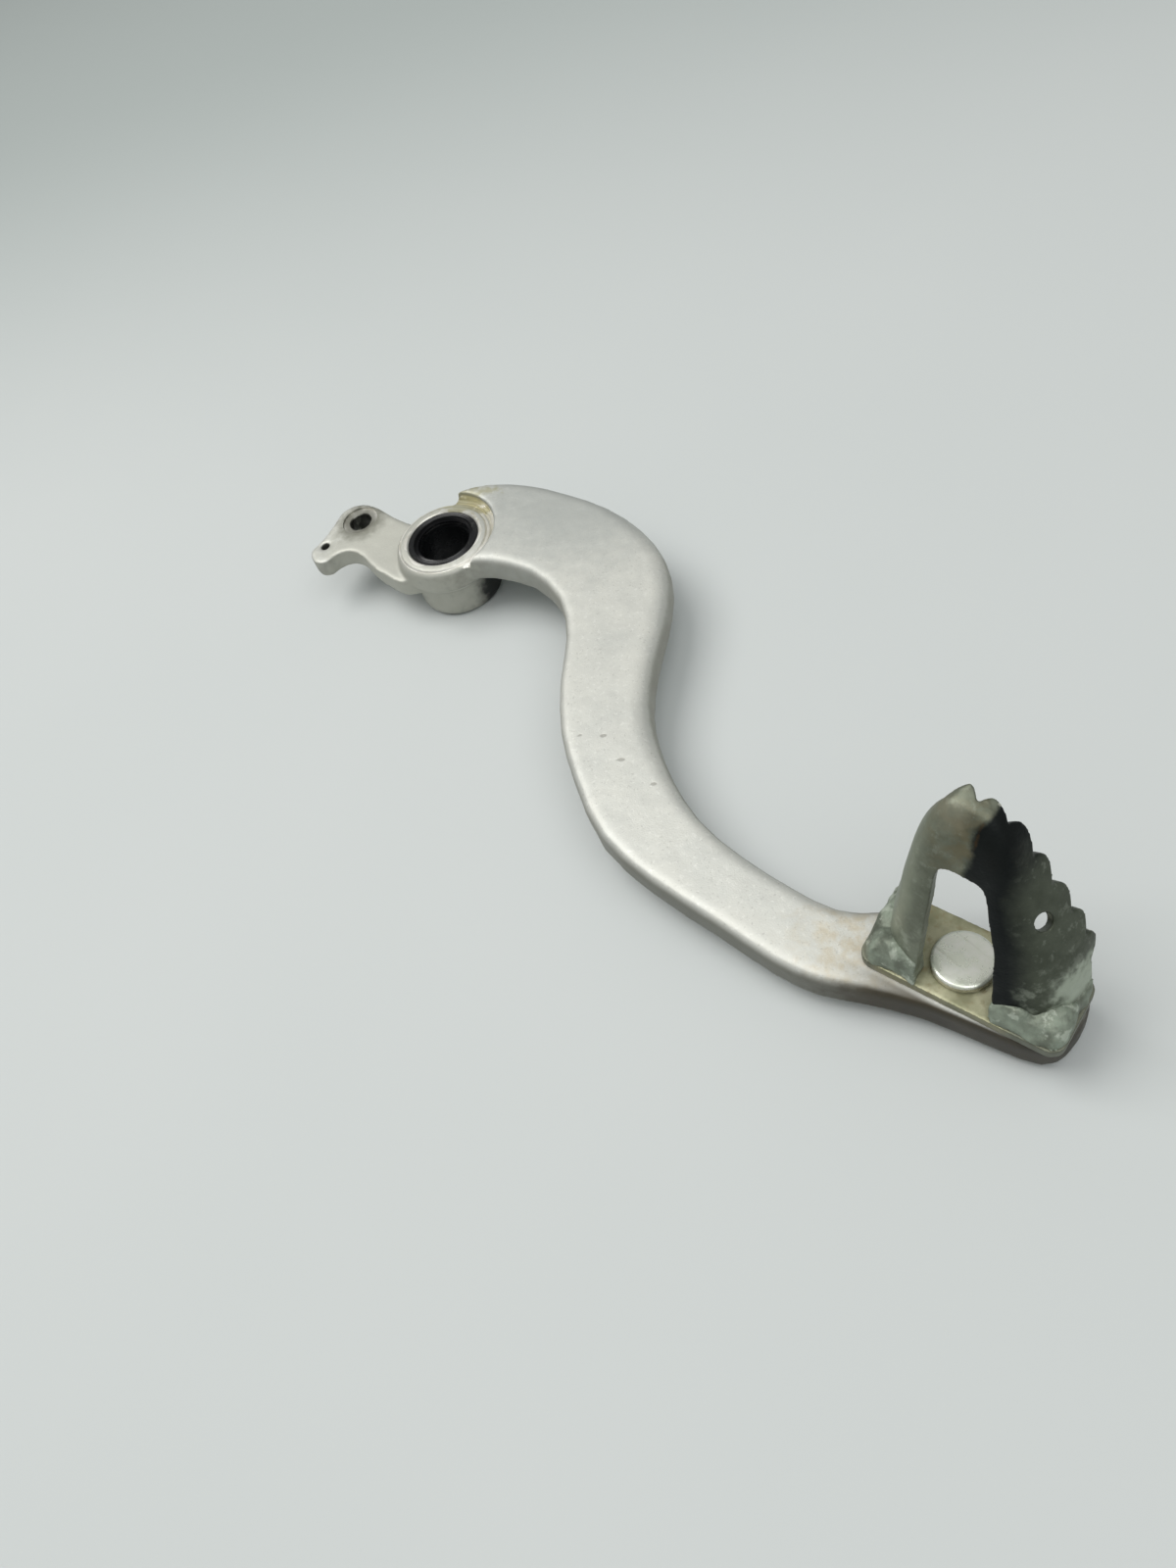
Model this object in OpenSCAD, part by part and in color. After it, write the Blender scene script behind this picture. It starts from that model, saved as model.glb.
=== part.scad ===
// Rear brake pedal: forged arm on a bushed pivot, with a toothed step riveted to its toe.
// Millimetres. The pivot axis is Z, and the origin is half way along the boss.
// Inside the modules, heights are counted from the boss's outer face.

/* [Pivot] */
// Diameter of the pivot bolt's shoulder, which the bush runs on
journal_d = 15; // [12:0.5:16]
// Wall of the pivot bush
bush_wall = 1; // [0.8:0.1:1.5]
// Width of each dust seal beyond the bush's outside
seal_w = 2; // [1.4:0.1:2.2]
// Depth of each dust seal
seal_h = 3; // [2:0.5:4]
// Length of the boss along the pivot axis
boss_len = 19.5; // [16:0.5:26]
// Wall of the lower part of the boss round its seal
boss_wall = 2; // [1.6:0.1:3]
// Width of the machined ring round the outer seal
ring_w = 2.3; // [1.8:0.1:3]
// Width of the flange round the outer seal
flange_w = 4; // [3.4:0.1:5]
// Gap between the flange and the spot face's edge in the arm
spot_gap = 1.3; // [0.6:0.1:2.4]

/* [Arm] */
// Thickness of the arm
arm_t = 9; // [7:0.5:11]
// Height of the arm's outer face over the machined ring
arm_rise = 2.5; // [1:0.5:4]
// Edge radius along the arm's heel side
heel_edge_r = 4.2; // [2:0.1:4.4]
// Edge radius along the arm's inner side
inner_edge_r = 2.4; // [1:0.1:4]
// Edge radius on the underside
under_edge_r = 1.6; // [1:0.1:3]

/* [Tail] */
// Thickness of the tail
tail_t = 6; // [4:0.5:8]
// Depth of the tail's outer face below the machined ring
tail_drop = 5; // [3:0.5:7]
// Diameter of the clevis pin hole
clevis_d = 6.4; // [6:0.1:8]
// Diameter of the spot face round the clevis pin hole
clevis_spot_d = 11; // [10:0.5:12]
// Diameter of the spring hook's hole
spring_d = 2.6; // [2:0.1:3.5]

/* [Step] */
// Direction of the toe, in degrees clockwise from X
toe_turn = 36; // [30:1:42]
// Width of the step's plate
plate_w = 17.2; // [16:0.2:18]
// Thickness of the step's plate
plate_t = 2.5; // [2:0.1:3]
// Height of the step over the arm's outer face
claw_h = 46.5; // [40:0.5:52]
// Thickness of the step's steel sheet
sheet_t = 2.8; // [2:0.1:3.2]
// Height of the teeth
tooth_h = 2.8; // [1:0.1:4]
// Diameter of the small hole in the step's wall
drain_d = 3.6; // [2:0.1:4]
// Diameter of the rivet's head
rivet_head_d = 12.5; // [11:0.1:13.5]
// Diameter of the rivet's shank
rivet_d = 8; // [6:0.5:8]
// Height of the rivet's head
rivet_head_h = 2.2; // [1.5:0.1:3]

/* [Hidden] */
$fn = 64;
// Radial clearance of pressed parts in this model
press_gap = 0.02;
// Radial clearance of the rivet's shank
rivet_gap = 0.1;
bush_d = journal_d + 2 * bush_wall;
seal_d = bush_d + 2 * seal_w;
boss_d = seal_d + 2 * boss_wall;
ring_d = seal_d + 2 * ring_w;
flange_d = seal_d + 2 * flange_w;
spot_d = flange_d + 2 * spot_gap;
arm_top = arm_rise;
arm_bot = arm_rise - arm_t;
plate_top = arm_top + plate_t;
tail_top = -tail_drop;
tail_bot = -tail_drop - tail_t;
rivet_at = [117.8, -148.3];
clevis_at = [-29.5, 19.5];
spring_at = [-39.8, 11.2];
through = 60;

// Outline of the arm, seen from outside, as points of a smooth closed curve.
// Each is [x, y, edge radius].
heel = heel_edge_r;
inner = inner_edge_r;
heel_side = [
    [2.6, 11.6, inner], [4, 16.4, inner], [13.6, 17.2, inner], [25.6, 13.7, inner], [37.2, 7, inner],
    [48.5, -1, 3], [57.8, -11, heel], [63.4, -22.5, heel], [64.8, -34, heel], [62.9, -46.8, heel],
    [59.9, -59, heel], [58.4, -71, heel], [59.4, -81, heel], [62.7, -93.3, 3.2], [68.4, -105.7, inner],
    [77, -116.2, inner], [87, -125.4, inner], [95.6, -131.6, inner], [104.2, -133.3, inner]
];
// The toe's own outline is placed along and across the toe, from the rivet
toe_r = 1.6;
toe_end = [
    for (p = [
        [-12, 10.1], [2, 9.9], [14, 9.9], [20.6, 8.6], [23, 3.4],
        [22.6, -3.6], [19.4, -7.8], [10, -9.2], [-3, -10.4]
    ])
    concat(on_toe(p), toe_r)
];
inner_side = [
    [98, -150.5, inner], [89.9, -147.9, inner],
    [81.6, -142.6, inner], [70.5, -132.7, inner], [56.4, -120.2, inner], [45.6, -107.3, inner],
    [39.6, -91.5, inner], [36, -76, inner], [35.6, -60, inner], [37, -46, inner], [35, -33, inner],
    [26.6, -21.2, inner], [14.5, -14.6, inner], [6.5, -12.8, inner], [2.6, -9, inner], [1.6, 1, inner]
];
arm_outline = concat(heel_side, toe_end, inner_side);

tail_outline = [
    [-7, 9.6], [-13.8, 14.8], [-18.2, 18.2], [-22.2, 22], [-26, 25.2], [-30.8, 27], [-35.8, 25],
    [-38.3, 19.6], [-41.4, 13.8], [-44.3, 9.8], [-42.6, 5.4], [-39.2, 4], [-35.8, 6.6],
    [-31.6, 7.2], [-27.6, 4.6], [-23.6, -0.8], [-19, -5.4], [-13.4, -9.6], [-7.6, -8.6], [-4, 0]
];

// Point [along, across] the toe as [x, y]
function on_toe(p) = [
    rivet_at[0] + p[0] * cos(toe_turn) + p[1] * sin(toe_turn),
    rivet_at[1] - p[0] * sin(toe_turn) + p[1] * cos(toe_turn)
];

// Point on the smooth curve through b and c, with a and d as their neighbours
function bend(a, b, c, d, t) =
    0.5 * (2 * b + (c - a) * t + (2 * a - 5 * b + 4 * c - d) * t * t + (3 * b - a - 3 * c + d) * t * t * t);

// Closed smooth curve through points, with n steps from each to the next
function loop(p, n) = [
    for (i = [0 : len(p) - 1], k = [0 : n - 1])
        bend(
            p[(i + len(p) - 1) % len(p)],
            p[i],
            p[(i + 1) % len(p)],
            p[(i + 2) % len(p)],
            k / n
        )
];

// Point at s (0 to 1) on the open smooth curve through points
function along(p, s) =
    let (
        last = len(p) - 1,
        x = min(max(s, 0), 0.99999) * last,
        i = floor(x)
    )
    bend(p[max(i - 1, 0)], p[i], p[i + 1], p[min(i + 2, last)], x - i);

function unit(v) = v / norm(v);

// Outward direction of a clockwise outline at point i
function outward(p, i) =
    let (
        a = p[(i + len(p) - 1) % len(p)],
        b = p[(i + 1) % len(p)],
        d = unit([b[0] - a[0], b[1] - a[1]])
    )
    [-d[1], d[0]];

// One ring of a slab: its outline drawn in by inset, at height z(edge radius)
function ring(p, share, top, bot, upper) = [
    for (i = [0 : len(p) - 1])
        let (
            r = upper ? p[i][2] : min(p[i][2], under_edge_r),
            o = outward(p, i),
            inset = r * (1 - cos(90 * share)),
            z = upper ? top - r * (1 - sin(90 * share)) : bot + r * (1 - sin(90 * share))
        )
        [p[i][0] - o[0] * inset, p[i][1] - o[1] * inset, z]
];

// Forged slab with rounded edges from a clockwise smooth outline.
// Its flat faces are rungs from one side of the arm to the other, the first at the boss.
first_rung = 4;
module slab(points, top, bot, steps) {
    p = loop(points, steps);
    n = len(p);
    lower = [for (s = [1, 0]) ring(p, s, top, bot, false)];
    upper = [for (s = [0, 0.35, 0.68, 1]) ring(p, s, top, bot, true)];
    rings = concat(lower, upper);
    m = len(rings);
    sides = [
        for (k = [0 : m - 2], i = [0 : n - 1])
            let (j = (i + 1) % n)
            for (face = [
                [k * n + i, k * n + j, k * n + n + j],
                [k * n + i, k * n + n + j, k * n + n + i]
            ])
            face
    ];
    rungs = [
        for (k = [0 : n / 2 - 2])
            [
                (first_rung + k) % n,
                (first_rung + k + 1) % n,
                (n + first_rung - 2 - k) % n,
                (n + first_rung - 1 - k) % n
            ]
    ];
    polyhedron(
        points = [for (r = rings, q = r) q],
        faces = concat(
            [for (q = rungs) [q[3], q[2], q[1], q[0]]],
            [for (q = rungs) [for (i = q) (m - 1) * n + i]],
            sides
        ),
        convexity = 12
    );
}

// Moves a piece so that the origin is half way along the boss
module from_middle() {
    translate([0, 0, boss_len / 2])
        children();
}

// Places a piece on the toe: X along the toe, Y across it, Z out of the arm
module at_toe() {
    translate([rivet_at[0], rivet_at[1], 0])
        rotate([0, 0, -toe_turn])
            children();
}

module pedal_arm() {
    color([0.78, 0.78, 0.75])
        from_middle()
        difference() {
            union() {
                difference() {
                    slab(arm_outline, arm_top, arm_bot, 2);
                    // spot face cut into the arm round the boss
                    translate([0, 0, -0.75])
                        cylinder(d = spot_d, h = through);
                }
                tail();
                boss_blank();
            }
            pivot_bore();
            translate([clevis_at[0], clevis_at[1], -through / 2])
                cylinder(d = clevis_d, h = through);
            translate([clevis_at[0], clevis_at[1], tail_top - 0.5])
                cylinder(d = clevis_spot_d, h = through);
            translate([spring_at[0], spring_at[1], -through / 2])
                cylinder(d = spring_d, h = through);
            at_toe()
                rivet_seat();
        }
}

// Tail behind the pivot, at its full thickness with squared edges
module tail() {
    translate([0, 0, tail_bot])
        linear_extrude(tail_t)
            polygon([for (q = loop(tail_outline, 3)) [q[0], q[1]]]);
}

// Boss before it is bored: lower barrel, flange and machined ring
module boss_blank() {
    rotate_extrude()
        polygon([
            [0, -boss_len],
            [boss_d / 2 - 1, -boss_len],
            [boss_d / 2, -boss_len + 1],
            [boss_d / 2, arm_bot - 2.8],
            [flange_d / 2, arm_bot - 0.8],
            [flange_d / 2, -1.6],
            [flange_d / 2 - 1, -0.6],
            [ring_d / 2 + 0.3, -0.6],
            [ring_d / 2, 0],
            [0, 0]
        ]);
}

module pivot_bore() {
    translate([0, 0, -through / 2])
        cylinder(d = bush_d, h = through);
    translate([0, 0, -seal_h])
        cylinder(d = seal_d, h = through);
    translate([0, 0, -boss_len + seal_h - through])
        cylinder(d = seal_d, h = through);
}

// Hole for the rivet and the sunk seat of its formed head
module rivet_seat() {
    translate([0, 0, -through / 2])
        cylinder(d = rivet_d + 2 * rivet_gap, h = through);
    translate([0, 0, arm_bot + rivet_head_h - through])
        cylinder(d = rivet_head_d + 0.6, h = through);
}

module pivot_bush() {
    color([0.62, 0.5, 0.3])
        from_middle()
        translate([0, 0, -boss_len + seal_h])
            difference() {
                cylinder(d = bush_d - 2 * press_gap, h = boss_len - 2 * seal_h);
                translate([0, 0, -1])
                    cylinder(d = journal_d, h = boss_len);
            }
}

// Dust seal with a stiff ring and a lip that reaches in to the journal
module dust_seal() {
    rotate_extrude()
        polygon([
            [seal_d / 2 - press_gap, 0],
            [seal_d / 2 - press_gap, seal_h - 0.7],
            [seal_d / 2 - 0.4, seal_h - 0.3],
            [journal_d / 2 + 1.6, seal_h - 0.3],
            [journal_d / 2 + 1.2, seal_h - 0.7],
            [journal_d / 2 + 1, seal_h - 1.5],
            [journal_d / 2 + 0.15, seal_h - 1],
            [journal_d / 2 + 0.1, seal_h - 1.4],
            [journal_d / 2 + 0.7, 0]
        ]);
}

module outer_dust_seal() {
    color([0.05, 0.05, 0.06])
        from_middle()
        translate([0, 0, -seal_h])
            dust_seal();
}

module inner_dust_seal() {
    color([0.05, 0.05, 0.06])
        from_middle()
        translate([0, 0, seal_h - boss_len])
            mirror([0, 0, 1])
                dust_seal();
}

plate_back = -18.4;
plate_front = 22.6;
plate_end_r = 3;

module step_plate() {
    color([0.72, 0.71, 0.55])
        from_middle()
        at_toe()
            difference() {
                translate([0, 0, arm_top])
                    linear_extrude(plate_t)
                        plate_outline();
                translate([0, 0, -through / 2])
                    cylinder(d = rivet_d + 2 * rivet_gap, h = through);
            }
}

module plate_outline() {
    square_w = plate_w - 2 * plate_end_r;
    translate([plate_back, -square_w / 2])
        square([plate_front - plate_back, square_w]);
    translate([plate_back + plate_end_r, -plate_w / 2])
        square([plate_front - plate_back - 2 * plate_end_r, plate_w]);
    for (x = [plate_back + plate_end_r, plate_front - plate_end_r], y = [-1, 1])
        translate([x, y * square_w / 2])
            circle(r = plate_end_r);
}

// The step's sheet runs from its back foot over the top to its front foot.
// Each station is [window edge, fold, tooth edge] as [along, across, out] of the toe.
half = plate_w / 2;
foot_in = 1.4;
near = foot_in - half;
base = plate_top;

// Height on the step as a share of its height over the arm's outer face
function up(share) = arm_top + claw_h * share;

claw_stations = [
    [[-6.2, near, base], [-15, near, base], [-15, half - 1.4, base]],
    [[-6.4, -6, up(0.2)], [-16, -6.2, up(0.2)], [-15.8, half - 1, up(0.2)]],
    [[-6.4, -3, up(0.45)], [-14.8, -3.4, up(0.45)], [-14.2, half - 1, up(0.45)]],
    [[-6.2, 0.2, up(0.68)], [-12.4, 0.2, up(0.76)], [-11.8, half - 1, up(0.79)]],
    [[-4.6, 1.2, up(0.72)], [-8.6, 3, up(0.98)], [-7.2, half - 0.8, up(1)]],
    [[-1.2, 1.2, up(0.715)], [0, 3.4, up(0.99)], [-1, half - 0.6, up(0.995)]],
    [[2.2, 0.9, up(0.68)], [5.2, 2.4, up(0.9)], [4, half - 0.6, up(0.92)]],
    [[4.4, -1, up(0.56)], [9.6, 0, up(0.7)], [8.8, half - 0.6, up(0.755)]],
    [[6.4, -3, up(0.42)], [14.6, -3, up(0.48)], [13.8, half - 0.6, up(0.57)]],
    [[7.6, -5, up(0.24)], [19, -5.4, up(0.28)], [18.4, half - 0.6, up(0.39)]],
    [[8.6, -6.6, up(0.1)], [20.8, -6.8, up(0.12)], [20.8, half - 1, up(0.21)]],
    [[9.2, near, base], [20.8, near, base], [21.2, half - 2.2, base]]
];

// Outer surface of the sheet: s runs round the step, t from window edge to tooth edge
function claw_out(s, t) =
    let (
        f = along([for (c = claw_stations) c[0]], s),
        k = along([for (c = claw_stations) c[1]], s),
        e = along([for (c = claw_stations) c[2]], s)
    )
    (1 - t) * (1 - t) * f + 2 * t * (1 - t) * k + t * t * e;

// Inward direction of the sheet at (s, t)
function claw_in(s, t) =
    let (
        a = claw_out(min(s + 0.004, 1), t) - claw_out(max(s - 0.004, 0), t),
        b = claw_out(s, min(t + 0.02, 1)) - claw_out(s, max(t - 0.02, 0))
    )
    unit(cross(b, a));

// Teeth stand on the far edge between the top of the step and its front.
// Each entry is where a tooth's middle is, as s; the first and last give the ends of the row.
tooth_at = [0.345, 0.385, 0.475, 0.578, 0.65, 0.72, 0.79, 0.848, 0.885];
teeth = len(tooth_at) - 2;

// Half way between tooth k and the one before it
function gap_at(k) =
    k == 1 ? tooth_at[0] : k == teeth + 1 ? tooth_at[teeth + 1] : (tooth_at[k - 1] + tooth_at[k]) / 2;

// Height of tooth k at share x of its width
function tooth(x) = tooth_h * pow(sin(180 * x), 0.8);

// Point on the sheet at cut [s, tooth height]; depth 0 is its outside, 1 its inside
function claw_point(cut, t, depth) =
    let (
        s = cut[0],
        p = claw_out(s, min(t, 1)),
        foot = s <= 0 || s >= 1,
        n = claw_in(s, min(t, 1)),
        flat = foot ? unit([n[0], n[1], 0]) : n,
        out = t > 1 ? unit(claw_out(s, 1) - claw_out(s, 0.9)) * cut[1] : [0, 0, 0]
    )
    p + flat * sheet_t * depth + out;

// The sheet is cut into steps round the step, closer together where the teeth are
tooth_steps = 6;
claw_cuts = concat(
    [for (i = [0 : 9]) [tooth_at[0] * i / 10, 0]],
    [
        for (k = [1 : teeth], i = [0 : tooth_steps - 1])
            [gap_at(k) + (gap_at(k + 1) - gap_at(k)) * i / tooth_steps, tooth(i / tooth_steps)]
    ],
    [for (i = [0 : 5]) [tooth_at[teeth + 1] + (1 - tooth_at[teeth + 1]) * i / 5, 0]]
);
claw_rows = [0, 0.2, 0.4, 0.6, 0.8, 1, 1.1];

module claw_sheet() {
    rows = len(claw_rows);
    belt = 2 * rows;
    claw_steps = len(claw_cuts) - 1;
    points = [
        for (i = [0 : claw_steps], d = [0, 1], j = [0 : rows - 1])
            claw_point(claw_cuts[i], claw_rows[d == 0 ? j : rows - 1 - j], d)
    ];
    sides = [
        for (i = [0 : claw_steps - 1], j = [0 : belt - 1])
            let (
                a = i * belt + j,
                b = i * belt + (j + 1) % belt,
                c = a + belt,
                d = b + belt
            )
            for (face = [[a, b, c], [b, d, c]])
            face
    ];
    polyhedron(
        points = points,
        faces = concat(
            [[for (j = [belt - 1 : -1 : 0]) j]],
            [[for (j = [0 : belt - 1]) claw_steps * belt + j]],
            sides
        ),
        convexity = 12
    );
}

drain_at = [12.8, 3, up(0.58)];

module step_claw() {
    color([0.5, 0.52, 0.46])
        from_middle()
        at_toe()
            difference() {
                claw_sheet();
                translate(drain_at)
                    rotate([0, 38, -38])
                        cylinder(d = drain_d, h = 16, center = true);
            }
}

// Weld bead in the corner between the plate and the outside of a foot.
// end is 0 at the back foot and 1 at the front foot.
bead_legs = [3, 1.5];
bead_rise = 3;
bead_gap = 0.05;
bead_rows = 14;
bead_sides = [[0, 0], [0, 1], [0.55, 0.85], [0.9, 0.5], [1, 0]];

function bead_point(end, t, side) =
    let (
        up = 0.035,
        foot = claw_out(end, t),
        top = claw_out(end == 0 ? up : 1 - up, t),
        rise = (top - foot) / (top[2] - foot[2]),
        n = claw_in(end, t),
        away = -unit([n[0], n[1], 0]),
        lumps = 1 + 0.12 * sin(t * 2300 + end * 90)
    )
    foot + away * (bead_gap + side[0] * bead_legs[end] * lumps) + rise * side[1] * bead_rise * lumps;

module bead(end) {
    m = len(bead_sides);
    points = [
        for (k = [0 : bead_rows], side = bead_sides)
            bead_point(end, k / bead_rows, side)
    ];
    sides = [
        for (k = [0 : bead_rows - 1], j = [0 : m - 1])
            let (
                a = k * m + j,
                b = k * m + (j + 1) % m
            )
            for (face = [[a, a + m, b], [b, a + m, b + m]])
            end == 1 ? [face[0], face[2], face[1]] : face
    ];
    order = end == 1 ? [m - 1 : -1 : 0] : [0 : m - 1];
    back_order = end == 1 ? [0 : m - 1] : [m - 1 : -1 : 0];
    polyhedron(
        points = points,
        faces = concat(
            [[for (j = order) j]],
            [[for (j = back_order) bead_rows * m + j]],
            sides
        ),
        convexity = 6
    );
}

module rear_weld_bead() {
    color([0.5, 0.54, 0.47])
        from_middle()
        at_toe()
            bead(0);
}

module front_weld_bead() {
    color([0.5, 0.54, 0.47])
        from_middle()
        at_toe()
            bead(1);
}

module step_rivet() {
    color([0.74, 0.76, 0.7])
        from_middle()
        at_toe()
            rotate_extrude()
                polygon([
                    [0, arm_bot + 0.2],
                    [rivet_head_d / 2 - 0.6, arm_bot + 0.2],
                    [rivet_head_d / 2, arm_bot + 0.8],
                    [rivet_head_d / 2, arm_bot + rivet_head_h],
                    [rivet_d / 2, arm_bot + rivet_head_h],
                    [rivet_d / 2, plate_top],
                    [rivet_head_d / 2, plate_top],
                    [rivet_head_d / 2, plate_top + rivet_head_h - 0.5],
                    [rivet_head_d / 2 - 0.5, plate_top + rivet_head_h],
                    [0, plate_top + rivet_head_h]
                ]);
}

pedal_arm();
pivot_bush();
outer_dust_seal();
inner_dust_seal();
step_plate();
step_claw();
rear_weld_bead();
front_weld_bead();
step_rivet();
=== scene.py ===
import math

import bmesh
import bpy
from mathutils import Matrix, Vector, noise


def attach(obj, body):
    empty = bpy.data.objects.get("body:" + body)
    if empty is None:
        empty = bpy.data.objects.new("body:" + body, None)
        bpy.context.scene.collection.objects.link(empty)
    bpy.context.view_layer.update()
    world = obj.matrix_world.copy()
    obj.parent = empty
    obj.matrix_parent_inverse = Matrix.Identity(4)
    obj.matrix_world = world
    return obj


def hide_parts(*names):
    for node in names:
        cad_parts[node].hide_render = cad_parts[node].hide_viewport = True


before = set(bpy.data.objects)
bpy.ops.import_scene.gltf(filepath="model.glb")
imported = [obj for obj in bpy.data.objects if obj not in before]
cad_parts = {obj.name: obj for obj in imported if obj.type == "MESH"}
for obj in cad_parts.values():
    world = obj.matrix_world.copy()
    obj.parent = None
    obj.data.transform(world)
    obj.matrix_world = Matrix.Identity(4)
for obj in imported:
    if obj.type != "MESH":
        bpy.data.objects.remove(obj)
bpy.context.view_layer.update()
scene = bpy.context.scene

# Sizes of the part, as in its source. Lengths are in metres, and heights are over the middle of the boss.
MM = 0.001
BOSS_LEN = 19.5 * MM
BOSS_FACE = BOSS_LEN / 2
ARM_RISE_MM = 2.5
PLATE_THICK_MM = 2.5
ARM_TOP = BOSS_FACE + ARM_RISE_MM * MM
ARM_BOTTOM = BOSS_FACE - 6.5 * MM
PLATE_TOP = ARM_TOP + PLATE_THICK_MM * MM
TAIL_TOP = BOSS_FACE - 5 * MM
TAIL_BOTTOM = BOSS_FACE - 11 * MM
SEAL_DEPTH = 3 * MM
SEAL_R = 10.5 * MM
BUSH_R = 8.5 * MM
RING_R = 12.8 * MM
FLANGE_R = 14.5 * MM
SPOT_FACE_R = 15.8 * MM
CLEVIS_HOLE_R = 3.2 * MM
CLEVIS_FACE_R = 5.5 * MM
RIVET_SHANK_R = 4 * MM
RIVET_HEAD_R = 6.25 * MM
RIVET_HEAD_HIGH = 2.2 * MM

# Places on the arm, in millimetres from the pivot's axis
RIVET_AT = (117.8, -148.3)
CLEVIS_AT = (-29.5, 19.5)
SPRING_HOLE_AT = (-39.8, 11.2)


def in_metres(at):
    """Point at height 0 over a place that is given in millimetres."""
    return Vector((at[0] * MM, at[1] * MM, 0))


# The toe's own frame starts at the rivet, with X along the toe, and TOE_FACE lifts it to the boss's face.
RIVET = in_metres(RIVET_AT)
CLEVIS = in_metres(CLEVIS_AT)
TOE_TURN = math.radians(36)
TOE = Matrix.Translation(RIVET) @ Matrix.Rotation(-TOE_TURN, 4, "Z")
TOE_FACE = TOE @ Matrix.Translation((0, 0, BOSS_FACE))


# Shader nodes

def add(tree, kind, links=(), **values):
    """A node with the named attributes, and (socket, source) pairs wired or set."""
    node = tree.nodes.new(kind)
    for key, value in values.items():
        setattr(node, key, value)
    for socket, source in links:
        if isinstance(source, bpy.types.NodeSocket):
            tree.links.new(source, node.inputs[socket])
        else:
            node.inputs[socket].default_value = source
    return node


def math_node(tree, how, a, b=0.0, clamp=False):
    """Result of one sum on two values."""
    return add(tree, "ShaderNodeMath", [(0, a), (1, b)], operation=how, use_clamp=clamp).outputs[0]


def times(tree, a, b):
    """Where both masks are, or a mask made weaker by a number."""
    return math_node(tree, "MULTIPLY", a, b)


def either(tree, a, b):
    """Where either of two masks is."""
    return math_node(tree, "MAXIMUM", a, b)


def without(tree, mask):
    """Where a mask isn't."""
    return math_node(tree, "SUBTRACT", 1.0, mask)


def vector_node(tree, how, a, b):
    """Vector that comes of two vectors."""
    return add(tree, "ShaderNodeVectorMath", [(0, a), (1, b)], operation=how).outputs[0]


def length(tree, vector):
    """Length of a vector."""
    return add(tree, "ShaderNodeVectorMath", [(0, vector)], operation="LENGTH").outputs["Value"]


def cloud(tree, place, scale, detail, roughness=0.5):
    """Smooth noise round 0.5."""
    return add(
        tree, "ShaderNodeTexNoise",
        [("Vector", place), ("Scale", scale), ("Detail", detail), ("Roughness", roughness)],
    ).outputs[0]


def ramp(tree, value, low, high, start=0.0, end=1.0, smooth=True):
    """start where value is low or less, end where it is high or more."""
    return add(
        tree, "ShaderNodeMapRange",
        [("Value", value), ("From Min", low), ("From Max", high), ("To Min", start), ("To Max", end)],
        interpolation_type="SMOOTHSTEP" if smooth else "LINEAR",
    ).outputs[0]


def split_xyz(tree, vector):
    """The X, Y and Z of a vector, by name."""
    return add(tree, "ShaderNodeSeparateXYZ", [(0, vector)]).outputs


# Camera and light

CAMERA_AT = Vector((96.23, -245.95, 231.39)) * MM
CAMERA_AIM = Vector((42.65, -91.57, 9.75)) * MM
CAMERA_UP = Vector((0, 1, 0))
LENS_MM = 27
PICTURE_HIGH_MM = 36

# Each lamp: name, place and side in metres, power in watts, colour
LAMPS = (
    ("window_light", (-0.55, 0.15, 1.1), 0.9, 9.5, (1, 0.99, 0.97)),
    ("ceiling_light", (0.5, -0.5, 1.3), 1.2, 7, (0.97, 0.99, 1)),
)
LAMP_AIM = Vector((0.06, -0.08, 0))
LAMP_UP = Vector((0, 1, 0.01))

# The room from low to high, each with its place on the ramp, and the plain grey that the camera sees
ROOM_LOW = (0.25, (0.40, 0.43, 0.43))
ROOM_HIGH = (0.95, (1.0, 1.0, 0.97))
ROOM_STRENGTH = 0.5
BACKDROP = (0.80, 0.83, 0.82)


def look_from(eye, at, up):
    """Matrix of a camera or lamp at eye that looks at a point, with up as its upward hint."""
    ahead = (at - eye).normalized()
    right = ahead.cross(up).normalized()
    over = right.cross(ahead)
    m = Matrix((right, over, -ahead)).transposed().to_4x4()
    m.translation = eye
    return m


def make_camera():
    """Camera at the photo's place, with the photo's upright frame."""
    data = bpy.data.cameras.new("camera")
    data.sensor_fit = "VERTICAL"
    data.sensor_height = PICTURE_HIGH_MM
    data.lens = LENS_MM
    data.clip_start = 0.01
    data.clip_end = 20
    cam = bpy.data.objects.new("camera", data)
    scene.collection.objects.link(cam)
    cam.matrix_world = look_from(CAMERA_AT, CAMERA_AIM, CAMERA_UP)
    scene.camera = cam


def make_lamps():
    """Two broad, soft lamps over the part, which the camera doesn't see."""
    for name, at, side, power, colour in LAMPS:
        data = bpy.data.lights.new(name, "AREA")
        data.shape = "RECTANGLE"
        data.size = data.size_y = side
        data.energy = power
        data.color = colour
        lamp = bpy.data.objects.new(name, data)
        scene.collection.objects.link(lamp)
        lamp.matrix_world = look_from(Vector(at), LAMP_AIM, LAMP_UP)
        lamp.visible_camera = False


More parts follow.
